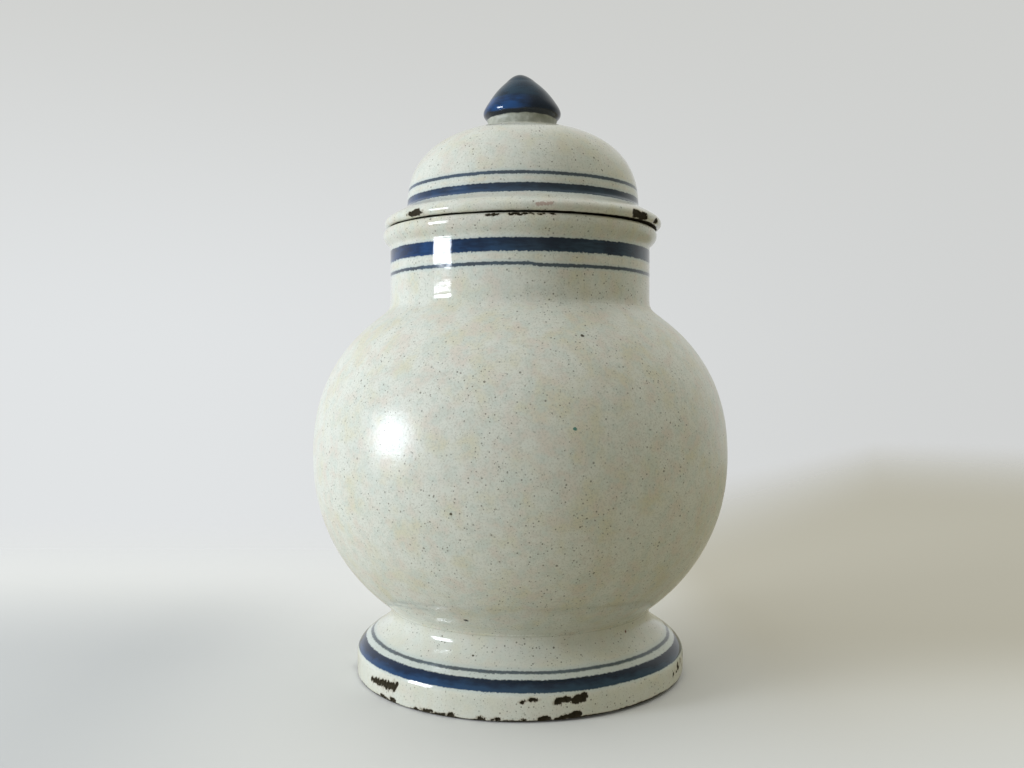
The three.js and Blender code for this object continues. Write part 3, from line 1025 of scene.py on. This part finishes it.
def glazed(name, glaze, bands=(), spots=(), knob=False):
    """Glossy glaze with brushed bands or a painted knob, that shows dark clay where it is worn off."""
    material, nodes, surface = new_surface(name)
    place = place_on_piece(nodes)
    height = nodes.split(place)[2]
    colour = glaze_colour(nodes, place, glaze, spots)
    gloss = glaze_gloss(nodes, place, height, glaze.roughness)
    if bands:
        colour = with_bands(nodes, place, colour, bands)
    if knob:
        colour = knob_colour(nodes, place, height, colour)
        gloss = nodes.blend(nodes.ramp(height, *KNOB_STEM_GLOSS), STEM_ROUGHNESS, gloss)
    worn = worn_depth(nodes, place)
    bare = nodes.ramp(worn, *WEAR_BARE)
    thin = nodes.times(nodes.ramp(worn, *WEAR_THIN), WEAR_THIN_SHARE)
    clay = nodes.mix(nodes.noise(place, CLAY_SIZE, 3), CLAY_DARK, CLAY_PALE)
    colour = nodes.mix(bare, nodes.mix(thin, colour, GLAZE_THIN), clay)
    relief = glaze_relief(nodes, place, glaze.peel, bare)
    inputs = {"Strength": SKIN_STRENGTH, "Distance": SKIN_DISTANCE, "Height": relief}
    surface.inputs["IOR"].default_value = GLAZE_IOR
    nodes.feed(surface.inputs["Base Color"], colour)
    nodes.feed(surface.inputs["Roughness"], nodes.blend(bare, gloss, CLAY_ROUGHNESS))
    specular = nodes.blend(bare, GLAZE_SPECULAR, CLAY_SPECULAR)
    nodes.feed(surface.inputs["Specular IOR Level"], specular)
    nodes.feed(surface.inputs["Normal"], nodes.add("Bump", inputs).outputs[0])
    return material


def bare_clay(name):
    """Dark fired clay with turning lines, for the ring under the lid."""
    material, nodes, surface = new_surface(name)
    place = place_on_piece(nodes)
    lines = nodes.noise(nodes.stretched(place, LINE_STRETCH), LINE_SIZE, 2)
    lines = nodes.times(lines, LINE_SHARE)
    grains = nodes.noise(place, GRAIN_SIZE, 4)
    tone = nodes.plus(lines, nodes.times(grains, GRAIN_SHARE))
    colour = nodes.fade(tone, CLAY_TONE, COLLAR_DARK, COLLAR_PALE)
    drift = nodes.times(grains, COLLAR_DRIFT)
    inputs = {"Strength": COLLAR_STRENGTH, "Distance": COLLAR_DISTANCE, "Height": tone}
    nodes.feed(surface.inputs["Base Color"], colour)
    nodes.feed(surface.inputs["Roughness"], nodes.plus(drift, COLLAR_ROUGHNESS))
    nodes.feed(surface.inputs["Normal"], nodes.add("Bump", inputs).outputs[0])
    return material


def install(piece, material, body, node):
    piece.data.materials.append(material)
    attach(piece, body)
    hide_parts(node)


# Least roughness by height, how dimpled the skin is, and how strong patches and specks are. The glaze has
# run down the globe, and is duller above that and in the hollow under the neck.
FOOT_GLAZE = Glaze([(0, 0.07)], 0.6, 0.5, 0.85)
GLOBE_GLAZE = Glaze([(48, 0.03), (72, 0.27)], 2.6, 1.15, 0.75)
NECK_GLAZE = Glaze([(150, 0.27), (154, 0.03)], 0.5, 1.0, 0.85)
LID_GLAZE = Glaze([(0, 0.07)], 0.6, 0.9, 0.85)
KNOB_GLAZE = Glaze([(0, 0.05)], 0.6, 0.5, 0.6)

install(make_foot(), glazed("foot_glaze", FOOT_GLAZE, FOOT_BANDS, FOOT_SPOTS), "jar", "foot")
install(make_globe(), glazed("globe_glaze", GLOBE_GLAZE, spots=GLOBE_SPOTS), "jar", "body")
install(make_neck(), glazed("neck_glaze", NECK_GLAZE, NECK_BANDS), "jar", "neck")
install(make_lid(), glazed("lid_glaze", LID_GLAZE, LID_BANDS, LID_SPOTS), "lid", "lid")
install(make_collar(), bare_clay("collar_clay"), "lid", "lid_collar")
install(make_knob(), glazed("knob_glaze", KNOB_GLAZE, knob=True), "lid", "knob")

# Stage: sizes in metres, colours linear. A pair of places or directions is where a blend starts and ends.
CAMERA_PLACE = (-0.00336, -0.4046, 0.12785)
CAMERA_PITCH_DOWN = 1.2
FOCAL_PIXELS = 950
IMAGE_WIDTH = 1024
SENSOR_WIDTH = 36
FLOOR_RADIUS = 1.2
FLOOR_SIDES = 64
FLOOR_ROUGHNESS = 0.9
FLOOR_SPECULAR = 0.1
FLOOR_DROP = 0.0002
FLOOR_CENTRE = (0.28, 0.18, 0)
FLOOR_FADE = (0.25, 1.1)
FLOOR_FADE_SLANT = 1.34
FLOOR_FADE_BACK = (0.0, 0.4)
FLOOR_COLOUR = (0.53, 0.51, 0.43, 1)
# Light thrown back from the right is darker and browner: painted shadow of the jar on the floor.
FLOOR_COLOUR_SHADOW = (0.37, 0.345, 0.26, 1)
FLOOR_COLOUR_SHADOW_X = (0.0, 0.12)
FLOOR_SEEN = (0.72, 0.72, 0.70, 1)
# Seen by the camera, the floor is darker towards the front: painted shade.
FLOOR_SEEN_FRONT_SHADE = (0.65, 0.65, 0.63, 1)
FLOOR_FRONT_Y = (0.0, -0.12)
# Seen by the camera, the floor is darker at the front left, against the window's light: painted shade.
FLOOR_SEEN_LEFT_SHADE = (0.46, 0.47, 0.47, 1)
FLOOR_LEFT_X = (-0.05, -0.18)
FLOOR_LEFT_Y = (0.20, 0.0)
# Seen by the camera, the floor is darker and warmer to the right, running back: painted shadow of the
# jar.
FLOOR_SEEN_SHADOW = (0.48, 0.455, 0.385, 1)
FLOOR_SHADOW_X = (0.03, 0.12)
FLOOR_SHADOW_Y = (-0.16, 0.06)
SEEN_LEFT = (0.755, 0.775, 0.785, 1)
SEEN_RIGHT = (0.64, 0.65, 0.645, 1)
SEEN_X = (-0.4, 0.6)
SEEN_TOP = (0.61, 0.615, 0.595, 1)
SEEN_TOP_Z = (0.0, 0.45)
SEEN_ROUND = (0.35, 0.36, 0.37, 1)
SEEN_ROUND_Y = (0.70, 0.05)
SEEN_ROUND_RIGHT = (0.25, 0.26, 0.25, 1)
SEEN_ROUND_RIGHT_X = (0.2, 0.5)
LIGHT_LEFT = (0.78, 0.85, 0.90, 1)
LIGHT_RIGHT = (0.92, 0.89, 0.62, 1)
LIGHT_X = (-0.8, 0.8)
LIGHT_RIGHT_LOW = (0.07, 0.065, 0.025, 1)
LIGHT_RIGHT_Z = (0.05, 0.6)
LIGHT_BACK = (0.68, 0.69, 0.67, 1)
LIGHT_BACK_Y = (0.0, 0.7)
LIGHT_TOP = (1.40, 1.42, 1.40, 1)
LIGHT_TOP_Z = (0.35, 0.9)
LIGHT_FRONT = (0.29, 0.287, 0.26, 1)
LIGHT_FRONT_Y = (-0.15, -0.75)
LIGHT_FRONT_HIGH = (0.46, 0.46, 0.43, 1)
LIGHT_FRONT_HIGH_Z = (0.15, 0.6)
LIGHT_FRONT_RIGHT = (0.10, 0.09, 0.04, 1)
LIGHT_FRONT_RIGHT_X = (-0.1, 0.6)
WINDOW_DIRECTION = Vector((-0.93, -0.36, 0))
WINDOW_DISTANCE = 1.1
WINDOW_WIDTH = 0.34
WINDOW_COLOUR = (0.91, 0.98, 1.07)
WINDOW_POWER = 86
PANES = {"pane_upper": (0.279, 0.40), "pane_lower": (0.10, 0.245)}


def floor_colour(nodes, x, y):
    """Colour of the floor as the camera sees it, and as it throws light back on the jar. Both are darker
    to the right as painted shadow of the jar, and as the camera sees it the floor is darker to the front
    and the front left as painted shade.
    """
    # Painted shade at the front left.
    left = nodes.times(nodes.ramp(x, *FLOOR_LEFT_X), nodes.ramp(y, *FLOOR_LEFT_Y))
    # Painted shadow of the jar to the right.
    right = nodes.times(nodes.ramp(x, *FLOOR_SHADOW_X), nodes.ramp(y, *FLOOR_SHADOW_Y))
    # Darker towards the front: painted shade.
    seen = nodes.fade(y, FLOOR_FRONT_Y, FLOOR_SEEN, FLOOR_SEEN_FRONT_SHADE)
    seen = nodes.mix(left, seen, FLOOR_SEEN_LEFT_SHADE)
    seen = nodes.mix(right, seen, FLOOR_SEEN_SHADOW)
    # Darker to the right: painted shadow of the jar.
    thrown = nodes.fade(x, FLOOR_COLOUR_SHADOW_X, FLOOR_COLOUR, FLOOR_COLOUR_SHADOW)
    direct = nodes.add("LightPath").outputs["Is Camera Ray"]
    return nodes.mix(direct, thrown, seen)


def pale_floor(name):
    """A pale ground that fades out to the back left and far off, and hides nothing from below."""
    material, nodes, surface = new_surface(name)
    surface.inputs["Roughness"].default_value = FLOOR_ROUGHNESS
    surface.inputs["Specular IOR Level"].default_value = FLOOR_SPECULAR
    geometry = nodes.add("NewGeometry").outputs
    x, y, _ = nodes.split(geometry["Position"])
    nodes.feed(surface.inputs["Base Color"], floor_colour(nodes, x, y))
    centre = nodes.add("TexCoord").outputs["Object"]
    distance = nodes.add("VectorMath", {0: centre}, operation="LENGTH").outputs["Value"]
    slanted = nodes.times(nodes.math("MAXIMUM", x, 0.0), FLOOR_FADE_SLANT)
    backward = nodes.math("SUBTRACT", y, slanted)
    far = nodes.ramp(distance, *FLOOR_FADE)
    faded = nodes.math("MAXIMUM", far, nodes.ramp(backward, *FLOOR_FADE_BACK))
    hidden = nodes.math("MAXIMUM", faded, geometry["Backfacing"])
    clear = nodes.add("BsdfTransparent").outputs[0]
    shown = nodes.add("MixShader", {0: hidden, 1: surface.outputs[0], 2: clear}).outputs[0]
    nodes.feed(nodes.tree.nodes["Material Output"].inputs["Surface"], shown)
    return material


def make_floor():
    data = bpy.data.meshes.new("floor")
    turns = np.radians(evenly(FLOOR_SIDES))
    corners = [(FLOOR_RADIUS * math.cos(a), FLOOR_RADIUS * math.sin(a), 0) for a in turns]
    data.from_pydata(corners, [], [list(range(len(corners)))])
    data.materials.append(pale_floor("floor_pale"))
    floor = bpy.data.objects.new("floor", data)
    floor.location = Vector(FLOOR_CENTRE) - Vector((0, 0, FLOOR_DROP))
    bpy.context.scene.collection.objects.link(floor)


def background_seen(nodes, x, y, z):
    """The pale background that the camera and reflections see, greyer round about."""
    seen = nodes.fade(x, SEEN_X, SEEN_LEFT, SEEN_RIGHT)
    seen = nodes.fade(z, SEEN_TOP_Z, seen, SEEN_TOP)
    round_about = nodes.fade(x, SEEN_ROUND_RIGHT_X, SEEN_ROUND, SEEN_ROUND_RIGHT)
    return nodes.fade(y, SEEN_ROUND_Y, seen, round_about)


def room_light(nodes, x, y, z):
    """The light of the room, most from above and the left."""
    right = nodes.fade(z, LIGHT_RIGHT_Z, LIGHT_RIGHT_LOW, LIGHT_RIGHT)
    light = nodes.fade(x, LIGHT_X, LIGHT_LEFT, right)
    light = nodes.fade(y, LIGHT_BACK_Y, light, LIGHT_BACK)
    light = nodes.fade(z, LIGHT_TOP_Z, light, LIGHT_TOP)
    front = nodes.fade(z, LIGHT_FRONT_HIGH_Z, LIGHT_FRONT, LIGHT_FRONT_HIGH)
    front = nodes.fade(x, LIGHT_FRONT_RIGHT_X, front, LIGHT_FRONT_RIGHT)
    return nodes.fade(y, LIGHT_FRONT_Y, light, front)


def make_world():
    """A room that lights the jar, with a pale background for the camera and for reflections."""
    world = bpy.data.worlds.new("pale_room")
    bpy.context.scene.world = world
    world.use_nodes = True
    world.node_tree.nodes.clear()
    nodes = Nodes(world.node_tree)
    direction = nodes.add("TexCoord").outputs["Generated"]
    x, y, z = nodes.split(direction)
    path = nodes.add("LightPath").outputs
    direct = nodes.math("MAXIMUM", path["Is Camera Ray"], path["Is Transmission Ray"])
    direct = nodes.math("MAXIMUM", direct, path["Is Glossy Ray"])
    lit = nodes.add("Background", {"Color": room_light(nodes, x, y, z)}).outputs[0]
    shown = nodes.add("Background", {"Color": background_seen(nodes, x, y, z)}).outputs[0]
    both = nodes.add("MixShader", {0: direct, 1: lit, 2: shown}).outputs[0]
    nodes.add("OutputWorld", {"Surface": both})


def make_window():
    """Panes of soft light, one above the other, to the left and a little in front."""
    place = WINDOW_DIRECTION.normalized() * WINDOW_DISTANCE
    facing = (-WINDOW_DIRECTION).to_track_quat("-Z", "Y")
    for name, (low, high) in PANES.items():
        data = bpy.data.lights.new(name, "AREA")
        data.shape = "RECTANGLE"
        data.size = WINDOW_WIDTH
        data.size_y = high - low
        data.energy = WINDOW_POWER * WINDOW_WIDTH * (high - low)
        data.color = WINDOW_COLOUR
        pane = bpy.data.objects.new(name, data)
        pane.location = place + Vector((0, 0, (low + high) / 2))
        pane.rotation_mode = "QUATERNION"
        pane.rotation_quaternion = facing
        pane.visible_camera = False
        bpy.context.scene.collection.objects.link(pane)


def make_camera():
    data = bpy.data.cameras.new("viewer")
    data.sensor_width = SENSOR_WIDTH
    data.lens = FOCAL_PIXELS * SENSOR_WIDTH / IMAGE_WIDTH
    camera = bpy.data.objects.new("viewer", data)
    camera.location = CAMERA_PLACE
    camera.rotation_euler = (math.radians(90 - CAMERA_PITCH_DOWN), 0, 0)
    bpy.context.scene.collection.objects.link(camera)
    bpy.context.scene.camera = camera


make_floor()
make_world()
make_window()
make_camera()
bpy.context.scene.view_settings.view_transform = "Standard"
